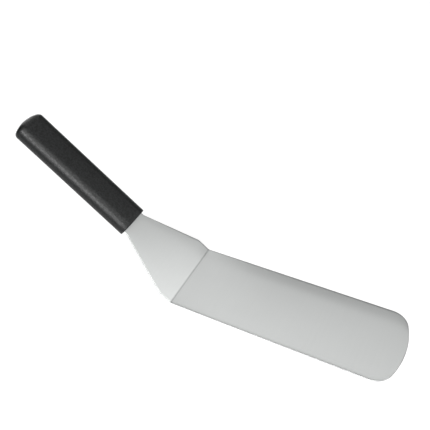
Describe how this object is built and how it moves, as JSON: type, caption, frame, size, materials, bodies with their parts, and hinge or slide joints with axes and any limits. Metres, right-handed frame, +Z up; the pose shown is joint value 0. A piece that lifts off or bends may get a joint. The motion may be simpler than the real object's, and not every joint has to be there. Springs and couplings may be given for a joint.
{
  "type": "offset spatula",
  "caption": "Bakery turner: a wide round-nosed steel blade, bent up into a tapering neck, with its tang keyed inside a straight dark plastic handle.",
  "frame": {"origin": "centre of the part's bounding box in X and Y, on the plane of the blade's underside", "axes": "+X along the blade towards its tip, +Y across the blade, +Z up out of the blade's top face; the neck and the handle rise towards -X"},
  "size_m": [0.371, 0.075, 0.1431],
  "materials": {
    "steel": "satin stainless steel, with a fine grain across the blade",
    "plastic": "charcoal polypropylene with a fine moulded grain"
  },
  "bodies": {
    "root": {"blade": "steel", "handle": "plastic"}
  },
  "joints": []
}
